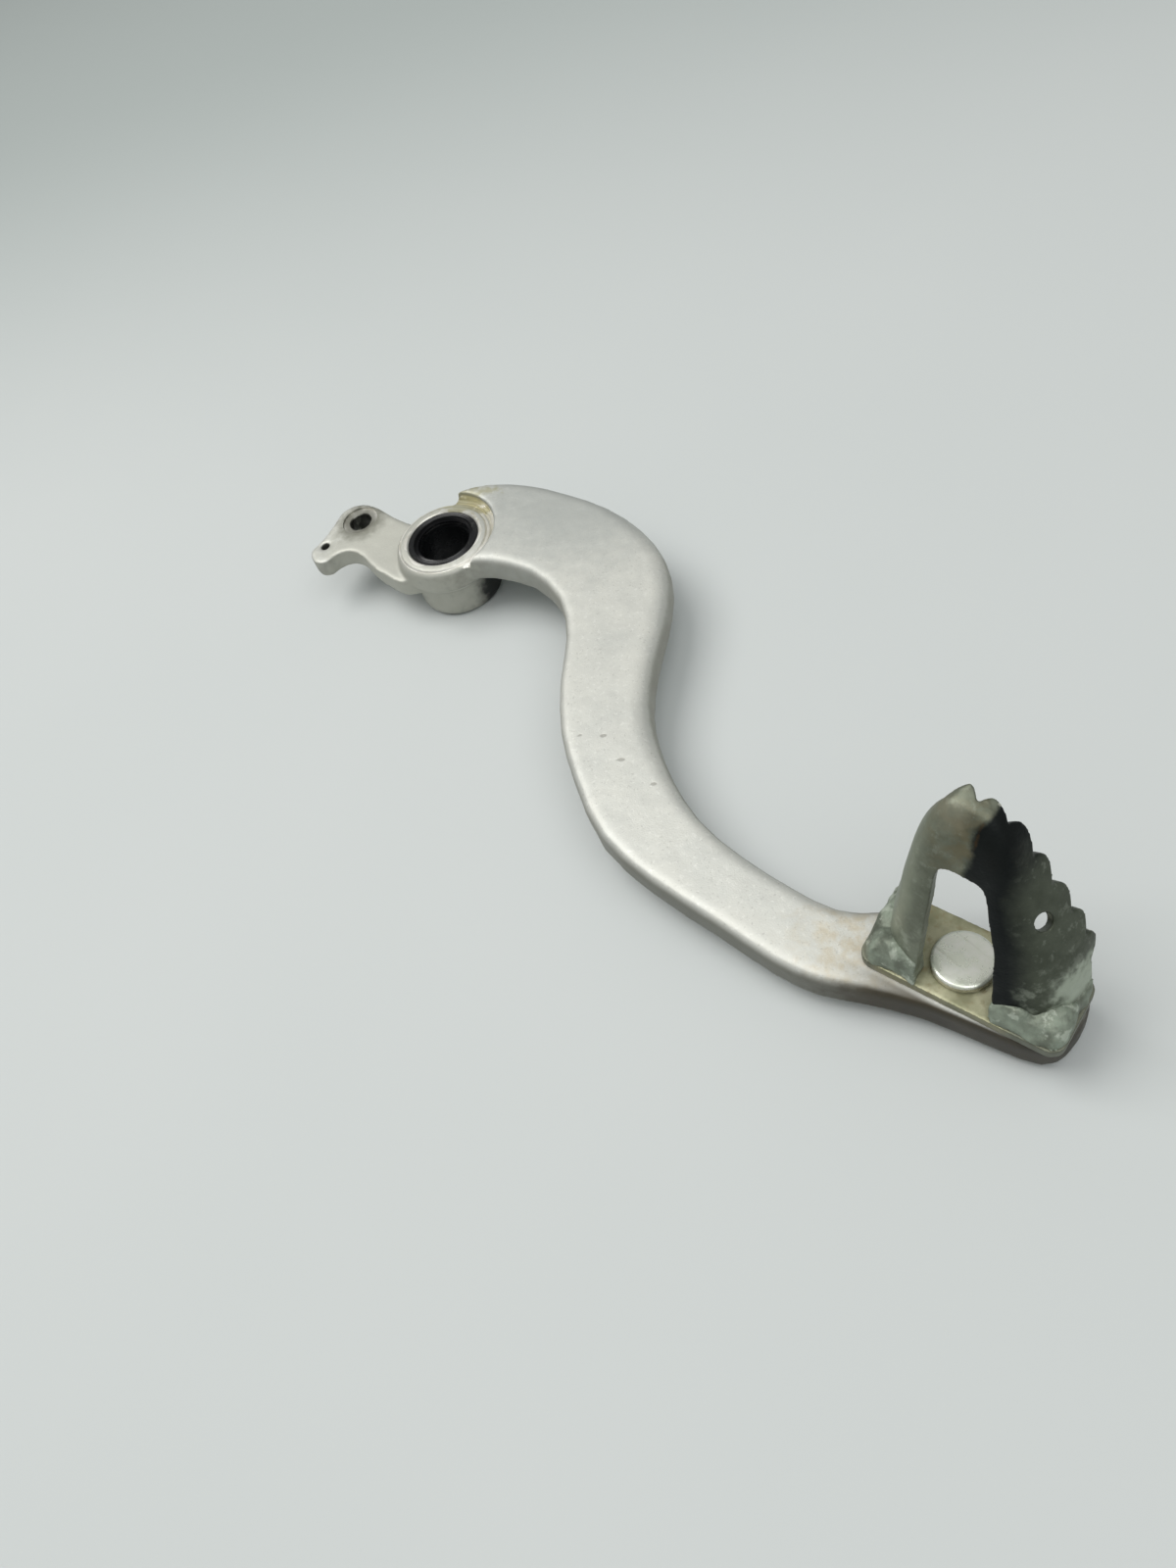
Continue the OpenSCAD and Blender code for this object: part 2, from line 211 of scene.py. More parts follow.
def make_room():
    """World that is paler overhead, with a plain backdrop for the camera."""
    world = bpy.data.worlds.new("room")
    world.use_nodes = True
    scene.world = world
    tree = world.node_tree
    way = add(tree, "ShaderNodeTexCoord").outputs["Generated"]
    rise = add(tree, "ShaderNodeValToRGB", [(0, split_xyz(tree, way)["Z"])])
    for stop, (position, colour) in zip(rise.color_ramp.elements, (ROOM_LOW, ROOM_HIGH)):
        stop.position = position
        stop.color = (*colour, 1)
    room = tree.nodes["Background"]
    room.inputs["Strength"].default_value = ROOM_STRENGTH
    tree.links.new(rise.outputs[0], room.inputs["Color"])
    seen = add(tree, "ShaderNodeBackground", [("Color", (*BACKDROP, 1)), ("Strength", 1)])
    path = add(tree, "ShaderNodeLightPath").outputs["Is Camera Ray"]
    mix = add(tree, "ShaderNodeMixShader", [(0, path), (1, room.outputs[0]), (2, seen.outputs[0])])
    tree.links.new(mix.outputs[0], tree.nodes["World Output"].inputs["Surface"])


# Node groups for the finishes

ORIGIN = (0.0, 0.0, 0.0)


def new_group(name, output, **inputs):
    """Node group with one output, and an input for each default: a float, or three for a vector."""
    group = bpy.data.node_groups.new(name, "ShaderNodeTree")
    for label, value in inputs.items():
        kind = "NodeSocketFloat" if isinstance(value, float) else "NodeSocketVector"
        socket = group.interface.new_socket(name=label, in_out="INPUT", socket_type=kind)
        socket.default_value = value
    group.interface.new_socket(name=output, in_out="OUTPUT", socket_type="NodeSocketFloat")
    return group, group.nodes.new("NodeGroupInput").outputs


def put_out(group, value):
    """Makes a value the group's output."""
    group.links.new(value, group.nodes.new("NodeGroupOutput").inputs[0])


def group_mottle():
    """Uneven patches: 0 to 1, more of 1 as Level falls."""
    group, given = new_group("mottle", "Mask", Place=ORIGIN, Scale=200.0, Detail=4.0, Level=0.5, Soft=0.1)
    value = cloud(group, given["Place"], given["Scale"], given["Detail"], roughness=0.6)
    low = math_node(group, "SUBTRACT", given["Level"], given["Soft"])
    high = math_node(group, "ADD", given["Level"], given["Soft"])
    put_out(group, ramp(group, value, low, high))


def group_spot():
    """A ragged round mark: 1 near Centre, falling to 0 over the last Soft of Radius."""
    group, given = new_group("spot_mark", "Mask", Place=ORIGIN, Centre=ORIGIN, Stretch=(1.0, 1.0, 1.0),
                             Radius=0.005, Soft=0.003, Ragged=0.002)
    off = vector_node(group, "SUBTRACT", given["Place"], given["Centre"])
    far = length(group, vector_node(group, "MULTIPLY", off, given["Stretch"]))
    wave = math_node(group, "SUBTRACT", cloud(group, given["Place"], scale=420.0, detail=4.0), 0.5)
    wave = times(group, times(group, wave, given["Ragged"]), 4.0)
    reach = math_node(group, "ADD", far, wave)
    low = math_node(group, "SUBTRACT", given["Radius"], given["Soft"])
    put_out(group, ramp(group, reach, low, given["Radius"], 1.0, 0.0))


def group_grain():
    """Height of a tumbled or pitted skin: fine grain with broader unevenness."""
    group, given = new_group("skin_grain", "Height", Place=ORIGIN, Fine=2500.0, Broad=260.0, Share=0.5)
    fine = cloud(group, given["Place"], given["Fine"], detail=3.0)
    broad = cloud(group, given["Place"], given["Broad"], detail=5.0)
    put_out(group, math_node(group, "ADD", times(group, fine, given["Share"]), broad))


def group_scratches():
    """Thin scratches, twenty times as long as wide, at Turn round Z from X."""
    group, given = new_group("scratches", "Mask", Place=ORIGIN, Turn=0.0, Scale=300.0, Level=0.62)
    turned = add(group, "ShaderNodeVectorRotate",
                 [("Vector", given["Place"]), ("Angle", given["Turn"])], rotation_type="Z_AXIS")
    long = vector_node(group, "MULTIPLY", turned.outputs[0], (0.05, 1.0, 1.0))
    high = math_node(group, "ADD", given["Level"], 0.06)
    value = cloud(group, long, given["Scale"], detail=2.0)
    put_out(group, ramp(group, value, given["Level"], high, smooth=False))


def group_turned():
    """Height of fine turning marks round a Z axis through Centre."""
    group, given = new_group("turning_marks", "Height", Place=ORIGIN, Centre=ORIGIN, Pitch=0.00025)
    off = vector_node(group, "SUBTRACT", given["Place"], given["Centre"])
    far = length(group, vector_node(group, "MULTIPLY", off, (1.0, 1.0, 0.0)))
    rings = math_node(group, "DIVIDE", far, given["Pitch"])
    marks = add(group, "ShaderNodeTexNoise", [("W", rings), ("Scale", 1.0), ("Detail", 2.0)],
                noise_dimensions="1D")
    put_out(group, marks.outputs[0])


def use(tree, name, **values):
    """Places a node group with the named inputs wired or set, and gives its output."""
    return add(tree, "ShaderNodeGroup", values.items(), node_tree=bpy.data.node_groups[name]).outputs[0]


def mottle(tree, place, scale, detail, level, soft):
    """Uneven patches, as group_mottle says."""
    return use(tree, "mottle", Place=place, Scale=scale, Detail=detail, Level=level, Soft=soft)


def skin_grain(tree, place, fine, broad, share):
    """Height of a rough skin, as group_grain says."""
    return use(tree, "skin_grain", Place=place, Fine=fine, Broad=broad, Share=share)


# Materials. Colours are linear red, green and blue.

NO_STRETCH = (1, 1, 1)


def tint(tree, mask, below, above, strength=1.0):
    """Colour that goes from below to above with mask times strength."""
    if strength != 1.0:
        mask = times(tree, mask, strength)
    if not isinstance(below, bpy.types.NodeSocket):
        below = (*below, 1)
    # A colour mix takes its factor at socket 0 and its colours at 6 and 7, and gives the result at 2.
    return add(tree, "ShaderNodeMix", [(0, mask), (6, below), (7, (*above, 1))], data_type="RGBA").outputs[2]


def begin_material(name):
    """New material, its nodes and the place of each point on the part."""
    mat = bpy.data.materials.new(name)
    mat.use_nodes = True
    return mat, mat.node_tree, add(mat.node_tree, "ShaderNodeTexCoord").outputs["Object"]


def finish_material(mat, colour, metallic, roughness, rough_mask=None, rough_span=(0, 1), metal_mask=None,
                    specular=0.5, height=None, bump=0.1, depth=0.2 * MM):
    """Sets a material's shader. Masks, where given, take the place of its plain roughness and metal."""
    tree = mat.node_tree
    shader = tree.nodes["Principled BSDF"].inputs
    tree.links.new(colour, shader["Base Color"])
    shader["Roughness"].default_value = roughness
    shader["Metallic"].default_value = metallic
    shader["Specular IOR Level"].default_value = specular
    if rough_mask is not None:
        tree.links.new(ramp(tree, rough_mask, 0.0, 1.0, *rough_span, smooth=False), shader["Roughness"])
    if metal_mask is not None:
        tree.links.new(metal_mask, shader["Metallic"])
    if height is not None:
        relief = add(tree, "ShaderNodeBump", [("Height", height), ("Strength", bump), ("Distance", depth)])
        tree.links.new(relief.outputs[0], shader["Normal"])
    return mat


def toe_place(tree, place):
    """Place in the toe's own frame, with heights over the arm's outer face."""
    return add(
        tree, "ShaderNodeMapping",
        [("Vector", place), ("Location", (RIVET.x, RIVET.y, ARM_TOP)), ("Rotation", (0, 0, -TOE_TURN))],
        vector_type="TEXTURE",
    ).outputs[0]


def side_mask(tree, low, high):
    """1 on upright walls, 0 on faces that look up or down."""
    normal = add(tree, "ShaderNodeNewGeometry").outputs["Normal"]
    up = math_node(tree, "ABSOLUTE", split_xyz(tree, normal)["Z"])
    return ramp(tree, up, low, high, 1.0, 0.0)


def spot(tree, place, centre, radius, soft, ragged, stretch=NO_STRETCH):
    """Ragged mark with its centre and radius in millimetres; soft and ragged are shares of the radius."""
    return use(tree, "spot_mark", Place=place, Centre=Vector(centre) * MM, Radius=radius * MM,
               Soft=radius * soft * MM, Ragged=radius * ragged * MM, Stretch=stretch)


def marked(tree, place, colour, marks):
    """Colour with a table's marks laid over it in turn, and the mask of each by name."""
    masks = {}
    for name, (centre, radius, soft, ragged, stretch, shade, strength) in marks.items():
        masks[name] = spot(tree, place, centre, radius, soft, ragged, stretch)
        colour = tint(tree, masks[name], colour, shade, strength)
    return colour, masks


# Marks: centre and radius in millimetres, soft and ragged as shares of the radius, stretch, colour, strength
ARM_MARKS = {
    # Painted light: a broad, cooler and greyer patch over the boss end stands for cool light falling there.
    "painted_cool_light": ((40, 6, 12), 44, 0.8, 0.1, NO_STRETCH, (0.44, 0.46, 0.44), 0.8),
    "cream_film": ((-14, 4, 0), 33, 0.35, 0.2, NO_STRETCH, (0.49, 0.49, 0.43), 0.7),
    "clevis_wear": ((-29, 19, 4.5), 10, 0.55, 0.12, (1, 1, 0.6), (0.16, 0.16, 0.125), 0.75),
    "olive_film": ((7.4, 13.5, 9), 6.5, 0.6, 0.5, (0.55, 1, 1), (0.36, 0.34, 0.17), 0.5),
    # Painted reflection and shade: a near-black patch on the barrel's side stands for a dark reflection and
    # the barrel's shaded side.
    "barrel_reflection_and_shade": ((11.5, -6.4, -6), 7.6, 0.55, 0.2, (1, 1, 0.8), (0.006, 0.008, 0.008), 0.97),
    # Painted shade: the spring hole and its walls are coloured near black.
    "spring_hole_shade": ((*SPRING_HOLE_AT, 1.5), 1.55, 0.15, 0.1, (1, 1, 0.1), (0.05, 0.05, 0.045), 0.9),
}
NICKS_AT = ((51, -87.7), (41.3, -78.9), (47.1, -79.9), (58.4, -95.7))
ARM_METAL = 0.55


def arm_finish():
    """Tumbled aluminium: satin, speckled, stained by the boss, the clevis hole and the step, with painted
    shade on its walls and a painted cool light and dark reflection by the boss.
    """
    mat, tree, place = begin_material("arm_aluminium_tumbled")
    clouds = mottle(tree, place, scale=38.0, detail=5.0, level=0.5, soft=0.22)
    colour = tint(tree, clouds, (0.57, 0.58, 0.545), (0.67, 0.67, 0.62))
    specks = mottle(tree, place, scale=1500.0, detail=2.0, level=0.66, soft=0.05)
    colour = tint(tree, specks, colour, (0.40, 0.40, 0.37), 0.45)
    pale = mottle(tree, place, scale=900.0, detail=3.0, level=0.62, soft=0.06)
    colour = tint(tree, pale, colour, (0.80, 0.80, 0.76), 0.4)
    rust = mottle(tree, place, scale=330.0, detail=6.0, level=0.5, soft=0.16)
    warm = times(tree, spot(tree, place, (98, -141, 12), 17, 0.9, 0.3), rust)
    colour = tint(tree, warm, colour, (0.50, 0.41, 0.25), 0.55)

    # Painted shade: walls are darker than the faces, most of all towards the toe. The mottled dark patches
    # on the walls are partly dirt and partly painted shade.
    walls = side_mask(tree, 0.2, 0.85)
    colour = tint(tree, walls, colour, (0.27, 0.27, 0.235), 0.65)
    wall_dirt_and_shade = times(tree, mottle(tree, place, scale=150.0, detail=6.0, level=0.42, soft=0.2), walls)
    colour = tint(tree, wall_dirt_and_shade, colour, (0.26, 0.25, 0.21), 0.5)
    # Painted shade on the lower walls of the arm, towards the toe.
    low_wall_shade = times(tree, walls, spot(tree, place, (78, -132, 8), 58, 0.6, 0.05))
    colour = tint(tree, low_wall_shade, colour, (0.13, 0.132, 0.11), 0.7)
    toe = split_xyz(tree, toe_place(tree, place))
    # Dark brown on the arm beside the plate's near edge at the toe: partly dirt, partly painted shade.
    near_edge_dirt_and_shade = without(tree, ramp(tree, toe["Y"], -9.8 * MM, -8.4 * MM))
    near_edge_dirt_and_shade = times(tree, near_edge_dirt_and_shade, ramp(tree, toe["X"], -24 * MM, -4 * MM))
    colour = tint(tree, near_edge_dirt_and_shade, colour, (0.075, 0.062, 0.036), 0.9)
    # Near-black brown on the toe's walls: partly dirt, partly painted shade.
    toe_wall_dirt_and_shade = times(tree, side_mask(tree, 0.62, 0.985), spot(tree, place, (118, -154, 8), 38, 0.6, 0.1))
    colour = tint(tree, toe_wall_dirt_and_shade, colour, (0.045, 0.036, 0.020), 0.97)
    # Darker mottled patches on the walls at the toe: partly dirt, partly painted shade.
    toe_dirt_and_shade = times(tree, wall_dirt_and_shade, spot(tree, place, (124, -160, 6), 30, 0.7, 0.2))
    colour = tint(tree, toe_dirt_and_shade, colour, (0.030, 0.025, 0.015), 0.95)

    colour, masks = marked(tree, place, colour, ARM_MARKS)
    nicks = None
    for at in NICKS_AT:
        mark = spot(tree, place, (*at, 12.2), 0.6, 0.6, 0.8, (0.6, 1, 1))
        nicks = mark if nicks is None else either(tree, nicks, mark)
    colour = tint(tree, nicks, colour, (0.25, 0.24, 0.21), 0.55)
    grain = skin_grain(tree, place, fine=2600.0, broad=320.0, share=0.45)
    height = math_node(tree, "SUBTRACT", grain, times(tree, nicks, 0.6))

    # Where the walls and the toe's side are painted dark, partly for dirt and partly for shade, and where
    # the barrel has its painted dark reflection, the arm is made less metallic.
    dull = either(tree, either(tree, toe_wall_dirt_and_shade, near_edge_dirt_and_shade), masks["barrel_reflection_and_shade"])
    dull = either(tree, dull, times(tree, low_wall_shade, 0.7))
    metal = math_node(tree, "SUBTRACT", ARM_METAL, times(tree, dull, 0.52), clamp=True)
    return finish_material(
        mat, colour, metallic=ARM_METAL, metal_mask=metal, roughness=0.5, rough_mask=clouds,
        rough_span=(0.47, 0.58), height=height, bump=0.35, depth=0.18 * MM,
    )


TURNED_MARKS = {
    "olive_film": ((7.4, 13, 9), 7, 0.5, 0.8, (0.55, 1, 1), (0.38, 0.35, 0.16), 0.6),
    "clevis_wear": ((-29.8, 19.2, 4.4), 8, 0.5, 0.15, NO_STRETCH, (0.14, 0.14, 0.11), 0.75),
    # Painted shade: the clevis hole's walls are coloured near black.
    "clevis_hole_shade": ((*CLEVIS_AT, 1.5), 3.75, 0.15, 0.12, (1, 1, 0.1), (0.025, 0.024, 0.02), 0.97),
}


def machined_finish():
    """Turned faces of the boss and the clevis hole: brighter, with fine rings and a yellowed film."""
    mat, tree, place = begin_material("arm_aluminium_turned")
    film = mottle(tree, place, scale=170.0, detail=5.0, level=0.5, soft=0.15)
    colour = tint(tree, film, (0.72, 0.70, 0.62), (0.80, 0.79, 0.74))
    colour, _ = marked(tree, place, colour, TURNED_MARKS)
    near_clevis = spot(tree, place, (*CLEVIS_AT, 4), 9, 0.05, 0.0)
    boss_rings = use(tree, "turning_marks", Place=place, Centre=ORIGIN, Pitch=0.3 * MM)
    clevis_rings = use(tree, "turning_marks", Place=place, Centre=CLEVIS, Pitch=0.35 * MM)
    # A mix of numbers takes its factor at socket 0 and the numbers at 2 and 3.
    rings = add(tree, "ShaderNodeMix", [(0, near_clevis), (2, boss_rings), (3, clevis_rings)]).outputs[0]
    return finish_material(
        mat, colour, metallic=0.7, roughness=0.36, rough_mask=film, rough_span=(0.3, 0.45),
        height=rings, bump=0.25, depth=0.06 * MM,
    )


def rubber_finish():
    """Glossy black rubber with a little dust."""
    mat, tree, place = begin_material("seal_rubber_black")
    dust = mottle(tree, place, scale=420.0, detail=5.0, level=0.66, soft=0.08)
    colour = tint(tree, dust, (0.008, 0.008, 0.009), (0.045, 0.045, 0.04), 0.5)
    grain = skin_grain(tree, place, fine=3000.0, broad=700.0, share=0.5)
    return finish_material(
        mat, colour, metallic=0.0, roughness=0.24, rough_mask=dust, rough_span=(0.2, 0.42),
        height=grain, bump=0.12, depth=0.04 * MM,
    )


def bush_finish():
    """Bronze painted near black for the shade deep in the bore, a little uneven."""
    mat, tree, place = begin_material("bush_bronze_painted_shade")
    dark = mottle(tree, place, scale=300.0, detail=5.0, level=0.5, soft=0.15)
    # Painted shade: the bush is coloured near black.
    colour = tint(tree, dark, (0.014, 0.015, 0.016), (0.006, 0.007, 0.008))
    grain = skin_grain(tree, place, fine=2600.0, broad=500.0, share=0.5)
    return finish_material(
        mat, colour, metallic=0.4, roughness=0.26, rough_mask=dark, rough_span=(0.22, 0.42),
        height=grain, bump=0.2, depth=0.06 * MM,
    )


def plate_finish():
    """Pale yellow-green zinc, dirty in patches, dark on its walls and at its two ends."""
    mat, tree, place = begin_material("plate_steel_zinc")
    film = mottle(tree, place, scale=190.0, detail=6.0, level=0.5, soft=0.16)
    colour = tint(tree, film, (0.30, 0.30, 0.185), (0.52, 0.51, 0.35))
    dirt = mottle(tree, place, scale=420.0, detail=6.0, level=0.6, soft=0.08)
    colour = tint(tree, dirt, colour, (0.30, 0.25, 0.14), 0.65)
    colour = tint(tree, side_mask(tree, 0.3, 0.8), colour, (0.20, 0.19, 0.13), 0.6)
    along = split_xyz(tree, toe_place(tree, place))["X"]
    front = ramp(tree, along, 10 * MM, 14 * MM)
    back = without(tree, ramp(tree, along, -16 * MM, -13 * MM))
    colour = tint(tree, either(tree, front, back), colour, (0.12, 0.13, 0.10), 0.88)
    grain = skin_grain(tree, place, fine=2200.0, broad=420.0, share=0.4)
    return finish_material(
        mat, colour, metallic=0.6, roughness=0.42, rough_mask=film, rough_span=(0.36, 0.52),
        height=grain, bump=0.35, depth=0.15 * MM,
    )


# Marks on the step, in the toe's own frame
CLAW_MARKS = {
    "brown_top": ((-6, 3.5, 46), 5.5, 0.7, 0.3, NO_STRETCH, (0.30, 0.28, 0.20), 0.55),
    "rusty_crease": ((-0.6, 3.4, 44.5), 1.4, 0.6, 0.6, (2.2, 0.5, 0.35), (0.075, 0.045, 0.020), 0.75),
    "chalk": ((20, 4, 9), 8, 0.6, 0.35, NO_STRETCH, (0.46, 0.51, 0.42), 0.85),
}
# Front edge of the window: height over the arm and distance along the toe, both as shares of WINDOW_REACH
WINDOW_REACH = 50 * MM
WINDOW_EDGE = (
    (0.09, 0.172), (0.22, 0.152), (0.39, 0.128), (0.52, 0.088), (0.64, 0.045), (0.74, 0.05), (0.9, 0.06),
)


def past_window(tree, place, along, height):
    """Distance along the toe beyond the window's front edge, made a little uneven."""
    window = add(tree, "ShaderNodeFloatCurve", [("Value", math_node(tree, "DIVIDE", height, WINDOW_REACH))])
    curve = window.mapping.curves[0]
    for share, reach in WINDOW_EDGE:
        curve.points.new(share, reach)
    window.mapping.update()
    edge = times(tree, window.outputs[0], WINDOW_REACH)
    wave = mottle(tree, place, scale=180.0, detail=5.0, level=0.5, soft=0.3)
    return math_node(tree, "ADD", math_node(tree, "SUBTRACT", along, edge), times(tree, wave, 1.6 * MM))


def claw_finish():
    """Aged zinc on pressed steel: greenish grey, brown at the top, worn teeth, with painted shade on the
    front wall and by the window, and a painted light on the back leg.
    """
    mat, tree, place = begin_material("claw_steel_aged")
    toe = toe_place(tree, place)
    at = split_xyz(tree, toe)
    film = mottle(tree, place, scale=150.0, detail=7.0, level=0.5, soft=0.2)
    colour = tint(tree, film, (0.120, 0.130, 0.098), (0.225, 0.245, 0.190))
    brown = mottle(tree, place, scale=240.0, detail=6.0, level=0.5, soft=0.12)
    brown = times(tree, brown, spot(tree, toe, (-1, 2, 42), 14, 0.9, 0.2))
    colour = tint(tree, brown, colour, (0.16, 0.130, 0.07), 0.6)
    # Painted shade: the front part of the sheet, its far wall, is darkened.
    colour = tint(tree, ramp(tree, at["X"], 2 * MM, 8 * MM), colour, (0.028, 0.036, 0.025), 0.6)
    # Painted shade: a near-black band along the sheet just past the window's front edge.
    past = past_window(tree, place, at["X"], at["Z"])
    window_shade = without(tree, ramp(tree, past, 3.4 * MM, 8.8 * MM))
    window_shade = times(tree, window_shade, ramp(tree, past, -3.5 * MM, -1.5 * MM))
    colour = tint(tree, window_shade, colour, (0.006, 0.008, 0.009), 0.97)
    clear_of_window_shade = without(tree, window_shade)
    # Painted light: the back leg is made paler, as its outer face is lit.
    lit_back_leg = without(tree, ramp(tree, at["X"], -14 * MM, -7 * MM))
    colour = tint(tree, lit_back_leg, colour, (0.30, 0.335, 0.26), 0.55)
    low = without(tree, ramp(tree, at["Z"], 7 * MM, 22 * MM))
    bloom = times(tree, mottle(tree, place, scale=330.0, detail=6.0, level=0.58, soft=0.09), low)
    colour = tint(tree, times(tree, bloom, clear_of_window_shade), colour, (0.42, 0.46, 0.38), 0.6)
    colour, _ = marked(tree, toe, colour, CLAW_MARKS)
    streaks = mottle(tree, toe, scale=520.0, detail=6.0, level=0.62, soft=0.06)
    colour = tint(tree, times(tree, streaks, clear_of_window_shade), colour, (0.34, 0.37, 0.31), 0.25)
    sharp = ramp(tree, add(tree, "ShaderNodeNewGeometry").outputs["Pointiness"], 0.54, 0.64)
    worn_teeth = times(tree, sharp, ramp(tree, at["Y"], 6 * MM, 8.5 * MM))
    colour = tint(tree, worn_teeth, colour, (0.55, 0.56, 0.48), 0.8)
    grain = skin_grain(tree, place, fine=2000.0, broad=420.0, share=0.4)
    return finish_material(
        mat, colour, metallic=0.55, roughness=0.42, rough_mask=film, rough_span=(0.36, 0.54), specular=0.15,
        height=grain, bump=0.5, depth=0.22 * MM,
    )


def weld_finish():
    """Rough weld with a pale, chalky bloom."""
    mat, tree, place = begin_material("weld_steel_bloomed")
    bloom = mottle(tree, place, scale=260.0, detail=7.0, level=0.5, soft=0.22)
    colour = tint(tree, bloom, (0.13, 0.145, 0.11), (0.31, 0.36, 0.29))
    white = mottle(tree, place, scale=300.0, detail=6.0, level=0.6, soft=0.05)
    colour = tint(tree, white, colour, (0.58, 0.63, 0.54), 0.6)
    grain = skin_grain(tree, place, fine=1800.0, broad=700.0, share=0.5)
    return finish_material(
        mat, colour, metallic=0.45, roughness=0.5, rough_mask=bloom, rough_span=(0.4, 0.68),
        height=grain, bump=0.6, depth=0.3 * MM,
    )


def rivet_finish():
    """Smooth bright zinc, scratched, with a brown rim."""
    mat, tree, place = begin_material("rivet_steel_bright")
    film = mottle(tree, place, scale=260.0, detail=5.0, level=0.52, soft=0.16)
    colour = tint(tree, film, (0.84, 0.88, 0.76), (0.96, 0.97, 0.90))
    lines = use(tree, "scratches", Place=place, Turn=0.9, Scale=420.0, Level=0.64)
    colour = tint(tree, lines, colour, (0.42, 0.42, 0.34), 0.45)
    colour = tint(tree, side_mask(tree, 0.3, 0.8), colour, (0.26, 0.20, 0.11), 0.6)
    grain = skin_grain(tree, place, fine=2400.0, broad=300.0, share=0.3)
    return finish_material(
        mat, colour, metallic=0.62, roughness=0.34, rough_mask=film, rough_span=(0.24, 0.38),
        height=grain, bump=0.25, depth=0.12 * MM,
    )


def floor_finish():
    """Plain pale grey, with painted shade making it a little darker far behind the part."""
    mat, tree, place = begin_material("floor_pale")
    clouds = mottle(tree, place, scale=4.0, detail=3.0, level=0.5, soft=0.4)
    colour = tint(tree, clouds, (0.575, 0.605, 0.60), (0.60, 0.625, 0.62))
    # Painted shade: the floor darkens far behind the part.
    far = ramp(tree, split_xyz(tree, place)["Y"], 0.05, 0.5)
    colour = tint(tree, far, colour, (0.43, 0.47, 0.46))
    return finish_material(mat, colour, metallic=0.0, roughness=0.7, specular=0.2)


# Shaping

def place_object(name, mesh):
    """New object in the scene with this mesh."""
    obj = bpy.data.objects.new(name, mesh)
    scene.collection.objects.link(obj)
    return obj


def object_from(name, bm):
    """Object with what a bmesh holds, its faces all turned outwards; the bmesh is freed."""
    bmesh.ops.recalc_face_normals(bm, faces=bm.faces)
    mesh = bpy.data.meshes.new(name)
    bm.to_mesh(mesh)
    bm.free()
    return place_object(name, mesh)


def apply_modifiers(obj):
    """Replaces the object's mesh by what its modifiers make of it."""
    graph = bpy.context.evaluated_depsgraph_get()
    made = bpy.data.meshes.new_from_object(obj.evaluated_get(graph))
    obj.modifiers.clear()
    old = obj.data
    obj.data = made
    if old.users == 0:
        bpy.data.meshes.remove(old)


def paint(obj, *finishes):
    """Gives the object these materials in place of the ones it has."""
    obj.data.materials.clear()
    for finish in finishes:
        obj.data.materials.append(finish)


def copy_of(name, node):
    """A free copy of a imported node's mesh with its doubled corners joined."""
    obj = place_object(name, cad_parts[node].data.copy())
    bm = bmesh.new()
    bm.from_mesh(obj.data)
    bmesh.ops.remove_doubles(bm, verts=bm.verts, dist=1e-6)
    bm.to_mesh(obj.data)
    bm.free()
    paint(obj)
    return obj


def boolean(obj, other, how):
    """Joins the other object to this one or cuts it away; the other one is used up."""
    mod = obj.modifiers.new("cut", "BOOLEAN")
    mod.operation = how
    mod.solver = "EXACT"
    mod.object = other
    apply_modifiers(obj)
    bpy.data.objects.remove(other)


def lathe(name, profile, at=Matrix.Identity(4), turns=128, finish=None):
    """Turns a closed (radius, height) profile about Z; radius 0 makes a pole."""
    bm = bmesh.new()
    rows = []
    for r, z in profile:
        if r < 1e-9:
            rows.append([bm.verts.new(at @ Vector((0, 0, z)))] * turns)
        else:
            angles = [2 * math.pi * k / turns for k in range(turns)]
            ring = [Vector((r * math.cos(a), r * math.sin(a), z)) for a in angles]
            rows.append([bm.verts.new(at @ p) for p in ring])
    for a, b in zip(rows, rows[1:] + rows[:1]):
        for k in range(turns):
            corners = []
            for v in (a[k], a[(k + 1) % turns], b[(k + 1) % turns], b[k]):
                if v not in corners:
                    corners.append(v)
            if len(corners) > 2:
                bm.faces.new(corners)
    obj = object_from(name, bm)
    if finish:
        paint(obj, finish)
    return obj


def arc(cx, cy, r, start, end, steps=6):
    """Points of a round corner, angles in degrees."""
    angles = [math.radians(start + (end - start) * i / steps) for i in range(steps + 1)]
    return [(cx + r * math.cos(a), cy + r * math.sin(a)) for a in angles]


def closed_grid(name, rings, at):
    """Object from equal rings of points in millimetres, capped at both ends."""
    bm = bmesh.new()
    rows = [[bm.verts.new(at @ (p * MM)) for p in ring] for ring in rings]
    n = len(rows[0])
    for a, b in zip(rows, rows[1:]):
        for j in range(n):
            bm.faces.new((a[j], a[(j + 1) % n], b[(j + 1) % n], b[j]))
    bm.faces.new(rows[0])
    bm.faces.new(rows[-1])
    return object_from(name, bm)


def remesh(obj, voxel, smooth):
    """One even skin over the object, smoothed in a number of passes."""
    mod = obj.modifiers.new("skin", "REMESH")
    mod.mode = "VOXEL"
    mod.voxel_size = voxel
    mod = obj.modifiers.new("soften", "SMOOTH")
    mod.factor = 0.5
    mod.iterations = smooth
    apply_modifiers(obj)


def roughen(obj, depth, scale, where=None):
    """Moves the skin in and out by noise; where(point) gives its strength."""
    mesh = obj.data
    normals = [v.normal.copy() for v in mesh.vertices]
    for v, n in zip(mesh.vertices, normals):
        share = 1.0 if where is None else where(v.co)
        if share > 0:
            v.co += n * (noise.noise(v.co * scale) * depth * share)
    mesh.update()


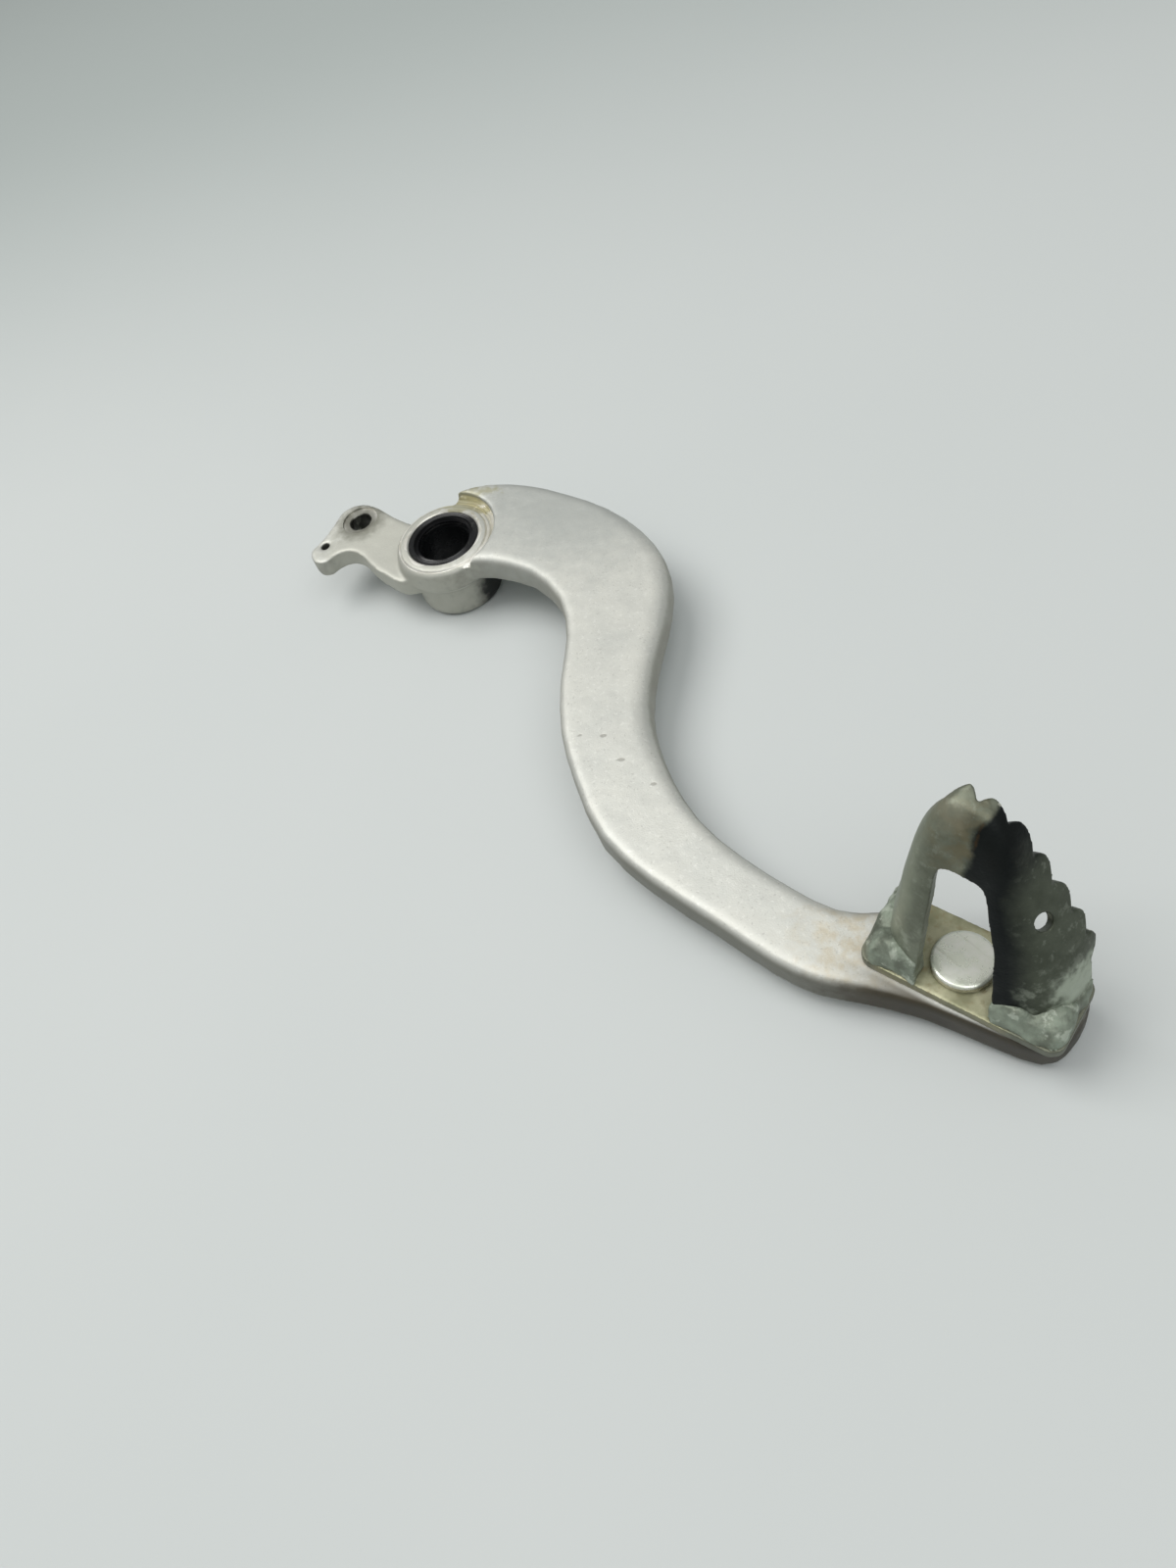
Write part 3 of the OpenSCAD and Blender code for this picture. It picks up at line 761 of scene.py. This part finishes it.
def dress(obj, node, sharp_from):
    """Shades the piece smooth, with edges from an angle in degrees kept sharp, and puts it for its node."""
    obj.data.shade_smooth()
    obj.data.set_sharp_from_angle(angle=math.radians(sharp_from))
    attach(obj, "root")
    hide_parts(node)


# Arm

def boss_cut():
    """Closed profile of what is turned out of the boss: spot face, flange, ring, seal seats and bore."""
    face = BOSS_FACE
    clear_top = face + 20 * MM
    clear_back = -face - 9 * MM
    spot_floor = face - 0.75 * MM
    flange_floor = face - 0.6 * MM
    seal_floor = face - SEAL_DEPTH
    back_floor = -face + SEAL_DEPTH
    edge = 0.35 * MM
    back_edge = 0.8 * MM
    return [
        (0, clear_top), (SPOT_FACE_R, clear_top), (SPOT_FACE_R, spot_floor),
        (FLANGE_R + 0.3 * MM, spot_floor), (FLANGE_R, face - 1.2 * MM), (FLANGE_R - 0.7 * MM, flange_floor),
        (RING_R + 0.25 * MM, flange_floor), (RING_R, face - edge), (RING_R - 0.3 * MM, face),
        (SEAL_R + edge, face), (SEAL_R, face - edge), (SEAL_R, seal_floor), (BUSH_R, seal_floor),
        (BUSH_R, back_floor), (SEAL_R, back_floor), (SEAL_R, -face + 0.3 * MM),
        (SEAL_R + back_edge, -face - 0.5 * MM), (SEAL_R + back_edge, clear_back), (0, clear_back),
    ]


def clevis_cut():
    """Closed profile of the clevis pin's hole with its spot face."""
    clear_top = TAIL_TOP + 9 * MM
    clear_back = TAIL_BOTTOM - 9 * MM
    floor = TAIL_TOP - 0.5 * MM
    chamfer = 0.3 * MM
    return [
        (0, clear_top), (CLEVIS_FACE_R, clear_top), (CLEVIS_FACE_R, floor),
        (CLEVIS_HOLE_R + chamfer, floor), (CLEVIS_HOLE_R, floor - chamfer),
        (CLEVIS_HOLE_R, clear_back), (0, clear_back),
    ]


def fill_hole(arm, name, radius, low, high, at):
    """Plugs a hole, so that softening the skin leaves nothing of its edge."""
    plug = lathe(name, [(0, low), (radius, low), (radius, high), (0, high)], Matrix.Translation(at))
    boolean(arm, plug, "UNION")


def make_arm(skin, turned):
    """Forging with softened edges, then its turned and drilled faces cut crisp again."""
    arm = copy_of("arm_forging", "pedal_arm")
    fill_hole(arm, "bore_plug", SEAL_R + 0.4 * MM, -BOSS_FACE, BOSS_FACE - 0.01 * MM, Vector())
    fill_hole(arm, "clevis_plug", CLEVIS_FACE_R + 0.4 * MM, TAIL_BOTTOM, TAIL_TOP, CLEVIS)
    remesh(arm, voxel=0.5 * MM, smooth=14)
    roughen(arm, depth=0.05 * MM, scale=260)
    paint(arm, skin, turned)
    boolean(arm, lathe("boss_cutter", boss_cut(), finish=turned), "DIFFERENCE")
    clevis_cutter = lathe("clevis_cutter", clevis_cut(), Matrix.Translation(CLEVIS), 96, turned)
    boolean(arm, clevis_cutter, "DIFFERENCE")
    dress(arm, "pedal_arm", 32)


# Seals

def seal_profile():
    """Closed profile of a dust seal, with its outer face just below height 0."""
    top = -0.3 * MM
    groove = top - 0.12 * MM
    side = SEAL_R - 0.02 * MM
    ridges = []
    for r in (10.0, 9.5, 9.05):
        ridges += [(r * MM, groove), ((r - 0.15) * MM, top + 0.03 * MM), ((r - 0.3) * MM, groove)]
    lip = [
        (8.7 * MM, top - 0.4 * MM), (8.5 * MM, top - 1.1 * MM), (8.0 * MM, top - 1.0 * MM),
        (7.68 * MM, top - 0.75 * MM), (7.6 * MM, top - 1.1 * MM), (8.15 * MM, -SEAL_DEPTH),
    ]
    return [
        (side, -SEAL_DEPTH), (side, top - 0.35 * MM), (SEAL_R - 0.1 * MM, groove),
        (SEAL_R - 0.3 * MM, top - 0.02 * MM), *ridges, *lip,
    ]


def make_seals(rubber):
    """The same seal in each end of the boss, each with its face outwards."""
    for name, node, turn, up in (
        ("outer_seal", "outer_dust_seal", 0, BOSS_FACE),
        ("inner_seal", "inner_dust_seal", math.pi, -BOSS_FACE),
    ):
        at = Matrix.Translation((0, 0, up)) @ Matrix.Rotation(turn, 4, "X")
        seal = lathe(name, seal_profile(), at, 128, rubber)
        dress(seal, node, 50)


# Step. From here to the welds, places are in millimetres in the toe's frame, over the boss's face.

PLATE_HALF, PLATE_BACK, PLATE_FRONT, PLATE_CORNER = 8.58, -18.38, 22.56, 3.0
PLATE_TOP_MM = ARM_RISE_MM + PLATE_THICK_MM


def make_plate(zinc):
    """Step plate: rounded rectangle with a broken edge."""
    front, back, side = PLATE_FRONT - PLATE_CORNER, PLATE_BACK + PLATE_CORNER, PLATE_HALF - PLATE_CORNER
    outline = []
    for cx, cy, start in ((front, side, 0), (back, side, 90), (back, -side, 180), (front, -side, 270)):
        outline += arc(cx, cy, PLATE_CORNER, start, start + 90, 8)
    bm = bmesh.new()
    base = bm.faces.new([bm.verts.new((x * MM, y * MM, ARM_TOP)) for x, y in outline])
    lifted = bmesh.ops.extrude_face_region(bm, geom=[base])
    bmesh.ops.translate(bm, vec=(0, 0, PLATE_TOP - ARM_TOP),
                        verts=[v for v in lifted["geom"] if isinstance(v, bmesh.types.BMVert)])
    plate = object_from("base_plate", bm)
    plate.data.transform(TOE)
    remesh(plate, voxel=0.3 * MM, smooth=5)
    roughen(plate, depth=0.06 * MM, scale=300)
    paint(plate, zinc)
    dress(plate, "step_plate", 35)


# The step's sheet from its back foot over the top to its front foot, as in the part's source:
# [window edge, fold, tooth edge], each along the toe, across it, and a share of the step's height.
# None is the height of the plate.
CLAW = (
    ((-6.2, -7.2, None), (-15, -7.2, None), (-15, 7.2, None)),
    ((-6.4, -6, 0.2), (-16, -6.2, 0.2), (-15.8, 7.6, 0.2)),
    ((-6.4, -3, 0.45), (-14.8, -3.4, 0.45), (-14.2, 7.6, 0.45)),
    ((-6.2, 0.2, 0.68), (-12.4, 0.2, 0.76), (-11.8, 7.6, 0.79)),
    ((-4.6, 1.2, 0.72), (-8.6, 3, 0.98), (-7.2, 7.8, 1)),
    ((-1.2, 1.2, 0.715), (0, 3.4, 0.99), (-1, 8, 0.995)),
    ((2.2, 0.9, 0.68), (5.2, 2.4, 0.9), (4, 8, 0.92)),
    ((4.4, -1, 0.56), (9.6, 0, 0.7), (8.8, 8, 0.755)),
    ((6.4, -3, 0.42), (14.6, -3, 0.48), (13.8, 8, 0.57)),
    ((7.6, -5, 0.24), (19, -5.4, 0.28), (18.4, 8, 0.39)),
    ((8.6, -6.6, 0.1), (20.8, -6.8, 0.12), (20.8, 7.6, 0.21)),
    ((9.2, -7.2, None), (20.8, -7.2, None), (21.2, 6.4, None)),
)
CLAW_HEIGHT = 46.5
SHEET = 2.8
TOOTH_HEIGHT = 2.8
# Where the teeth's middles are along the sheet, between the two ends of the row
TOOTH_AT = (0.345, 0.385, 0.475, 0.578, 0.65, 0.72, 0.79, 0.848, 0.885)
DRAIN_R = 1.8 * MM
DRAIN_TURN = Matrix.Rotation(math.radians(-38), 4, "Z") @ Matrix.Rotation(math.radians(38), 4, "Y")


def claw_height(share):
    """Height over the boss's face of a share of the step's height, or of the plate's top."""
    return PLATE_TOP_MM if share is None else ARM_RISE_MM + CLAW_HEIGHT * share


CLAW_LINES = [[Vector((*row[k][:2], claw_height(row[k][2]))) for row in CLAW] for k in range(3)]
DRAIN_AT = Vector((12.8, 3, claw_height(0.58)))


def smooth_along(points, s):
    """Point at s (0 to 1) on the open smooth curve through points."""
    last = len(points) - 1
    x = min(max(s, 0), 0.99999) * last
    i = int(x)
    x -= i
    a, b, c, d = points[max(i - 1, 0)], points[i], points[i + 1], points[min(i + 2, last)]
    return 0.5 * (2 * b + (c - a) * x + (2 * a - 5 * b + 4 * c - d) * x * x
                  + (3 * b - a - 3 * c + d) * x ** 3)


def claw_out(s, t):
    """Outside of the sheet: s from the back foot to the front one, t from window to tooth edge."""
    f, k, e = (smooth_along(line, s) for line in CLAW_LINES)
    return (1 - t) * (1 - t) * f + 2 * t * (1 - t) * k + t * t * e


def claw_in(s, t):
    """Inward direction of the sheet at (s, t), level at the feet."""
    a = claw_out(min(s + 0.004, 1), t) - claw_out(max(s - 0.004, 0), t)
    b = claw_out(s, min(t + 0.02, 1)) - claw_out(s, max(t - 0.02, 0))
    n = b.cross(a)
    if s <= 0 or s >= 1:
        n.z = 0
    return n.normalized()


def tooth(s):
    """Height of the row of teeth at s."""
    between = [(a + b) / 2 for a, b in zip(TOOTH_AT[1:-2], TOOTH_AT[2:-1])]
    gaps = [TOOTH_AT[0], *between, TOOTH_AT[-1]]
    for low, high in zip(gaps, gaps[1:]):
        if low < s < high:
            return TOOTH_HEIGHT * math.sin(math.pi * (s - low) / (high - low)) ** 0.7
    return 0.0


def claw_ring(s, rows=20):
    """Section through the sheet at s: up its outside, over the tooth and back down its inside."""
    outer = [claw_out(s, j / rows) for j in range(rows + 1)]
    inner = [p + claw_in(s, j / rows) * SHEET for j, p in enumerate(outer)]
    rim = claw_out(s, 1)
    edge = (rim - claw_out(s, 0.9)).normalized()
    n = claw_in(s, 1)
    reach = tooth(s)
    for share in (0.4, 0.8, 1.0):
        thin = 0.25 * share * reach / TOOTH_HEIGHT
        outer.append(rim + edge * reach * share + n * thin + edge * 0.01 * share)
        inner.append(rim + edge * reach * share + n * (SHEET - thin) + edge * 0.01 * share)
    return outer + inner[::-1]


def foot_share(p):
    """1 at the foot of the step, 0 from 9 mm over the plate, for a point in metres."""
    return max(0.0, min(1.0, (PLATE_TOP + 9 * MM - p.z) / (7 * MM)))


def make_claw(steel, steps=260):
    """Pressed sheet bent over the toe, with a row of rounded teeth, a small hole and lumpy feet."""
    claw = closed_grid("toothed_step", [claw_ring(i / steps) for i in range(steps + 1)], TOE_FACE)
    drill = lathe("drain_drill", [(0, -8 * MM), (DRAIN_R, -8 * MM), (DRAIN_R, 8 * MM), (0, 8 * MM)],
                  TOE_FACE @ Matrix.Translation(DRAIN_AT * MM) @ DRAIN_TURN, 48)
    boolean(claw, drill, "DIFFERENCE")
    remesh(claw, voxel=0.3 * MM, smooth=5)
    roughen(claw, depth=0.16 * MM, scale=150)
    roughen(claw, depth=0.45 * MM, scale=280, where=foot_share)
    paint(claw, steel)
    dress(claw, "step_claw", 60)


# Welds: name, node, the foot's s, an s just above it, height at the sheet
WELDS = (
    ("rear_weld", "rear_weld_bead", 0, 0.05, 5.5),
    ("front_weld", "front_weld_bead", 1, 0.955, 4.6),
)
# Sections along a foot, sections that wrap round its near corner, and the step between those
WELD_STEPS = 60
WELD_WRAP = 8
WRAP_STEP = 0.14
# How narrow and how broad a weld is, how deep it goes into the sheet, and where it ends on the plate
WELD_NARROW, WELD_BROAD = 0.6, 5.4
WELD_UNDER = 0.6
WELD_BACK, WELD_FRONT, WELD_SIDE = -18.2, 22.3, 8.4


def to_plate_edge(p, way):
    """How far a weld reaches from p along way: to the plate's edge, unless that is too near or too far."""
    reach = [WELD_BROAD]
    if abs(way.x) > 0.01:
        reach.append(((WELD_FRONT if way.x > 0 else WELD_BACK) - p.x) / way.x)
    if abs(way.y) > 0.01:
        reach.append(((WELD_SIDE if way.y > 0 else -WELD_SIDE) - p.y) / way.y)
    return max(WELD_NARROW, min(reach))


def weld_ring(i, end, just_above, high):
    """Section i of a weld along a foot; those below 0 wrap round the foot's near corner."""
    t = max(i, 0) / WELD_STEPS
    foot = claw_out(end, t)
    above = claw_out(just_above, t)
    rise = (above - foot) / (above.z - foot.z)
    away = -claw_in(end, t)
    out = to_plate_edge(foot, away)
    foot.y += min(i, 0) * WRAP_STEP
    lump = 1 - 0.22 * abs(noise.noise(Vector((t * 5.5, 3.1 + end * 7, 0))))
    tall = 1 + 0.6 * noise.noise(Vector((t * 4.0, 9.7 + end * 5, 2)))
    tall *= 0.55 + 0.45 * min(1.0, (i + WELD_WRAP) / 14)
    ring = [foot - away * WELD_UNDER, foot + away * out * lump]
    for angle in (15, 35, 55, 75):
        c, d = math.cos(math.radians(angle)), math.sin(math.radians(angle))
        ring.append(foot + away * out * lump * (0.12 + 0.88 * c) + rise * high * tall * d)
    ring.append(foot - away * WELD_UNDER + rise * high * tall)
    return ring


def make_welds(weld):
    """Lumpy weld in the corner between the plate and the outside of each foot."""
    for name, node, end, just_above, high in WELDS:
        rings = [weld_ring(i, end, just_above, high) for i in range(-WELD_WRAP, WELD_STEPS + 1)]
        bead = closed_grid(name, rings, TOE_FACE)
        remesh(bead, voxel=0.28 * MM, smooth=6)
        roughen(bead, depth=0.6 * MM, scale=260)
        roughen(bead, depth=0.25 * MM, scale=700)
        paint(bead, weld)
        dress(bead, node, 60)


# Rivet, bush and floor

def make_rivet(steel):
    """Rivet with a flat formed head on each side, the lower one sunk into the arm."""
    r, shank, top, low = RIVET_HEAD_R, RIVET_SHANK_R, PLATE_TOP + RIVET_HEAD_HIGH, ARM_BOTTOM + 0.2 * MM
    low_r, low_round = 5.6 * MM, 0.65 * MM
    seat = low + 2 * MM
    profile = [
        (0, low), (low_r, low), *arc(low_r, low + low_round, low_round, -90, 0, 4),
        (r, seat), (shank, seat), (shank, PLATE_TOP), (5.9 * MM, PLATE_TOP), (r, PLATE_TOP + 0.3 * MM),
        *arc(r - 0.75 * MM, top - 0.8 * MM, 0.75 * MM, 0, 90, 6),
        (r - 1.6 * MM, top - 0.02 * MM), (2.5 * MM, top), (0, top),
    ]
    rivet = lathe("rivet", profile, Matrix.Translation(RIVET), 96, steel)
    roughen(rivet, depth=0.05 * MM, scale=250)
    dress(rivet, "step_rivet", 50)


def repaint_node(node, finish):
    """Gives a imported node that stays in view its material."""
    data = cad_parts[node].data
    if not data.materials:
        data.materials.append(finish)
    for i in range(len(data.materials)):
        data.materials[i] = finish


# What the part rests on: two points under the toe, along and across it, and one on the boss's rim
REST_ALONG_MM = 24
REST_ACROSS_MM = (-4, 3)
BOSS_RIM_MM = 11.5
FLOOR_GAP_MM = 0.05
FLOOR_HALF = 3.0


def make_floor(finish):
    """Pale floor under the three points that the part rests on."""
    toe = [TOE @ Vector((REST_ALONG_MM * MM, y * MM, ARM_BOTTOM)) for y in REST_ACROSS_MM]
    middle = (toe[0] + toe[1]) / 2
    way = Vector((middle.x, middle.y, 0)).normalized()
    heel = way * BOSS_RIM_MM * MM + Vector((0, 0, -BOSS_FACE))
    across = toe[1] - toe[0]
    across.z = 0
    across.normalize()
    along = (middle - heel).normalized()
    up = along.cross(across).normalized()
    if up.z < 0:
        up = -up
    side = up.cross(along)
    centre = heel - up * FLOOR_GAP_MM * MM
    corners = [
        centre + along * a * FLOOR_HALF + side * b * FLOOR_HALF
        for a, b in ((-1, -1), (1, -1), (1, 1), (-1, 1))
    ]
    mesh = bpy.data.meshes.new("floor")
    mesh.from_pydata([tuple(c) for c in corners], [], [(0, 1, 2, 3)])
    floor = place_object("floor", mesh)
    paint(floor, finish)


make_camera()
make_lamps()
make_room()
for make_group in (group_mottle, group_spot, group_grain, group_scratches, group_turned):
    make_group()

make_arm(arm_finish(), machined_finish())
make_seals(rubber_finish())
repaint_node("pivot_bush", bush_finish())
make_plate(plate_finish())
make_claw(claw_finish())
make_welds(weld_finish())
make_rivet(rivet_finish())
make_floor(floor_finish())

scene.view_settings.view_transform = "Standard"
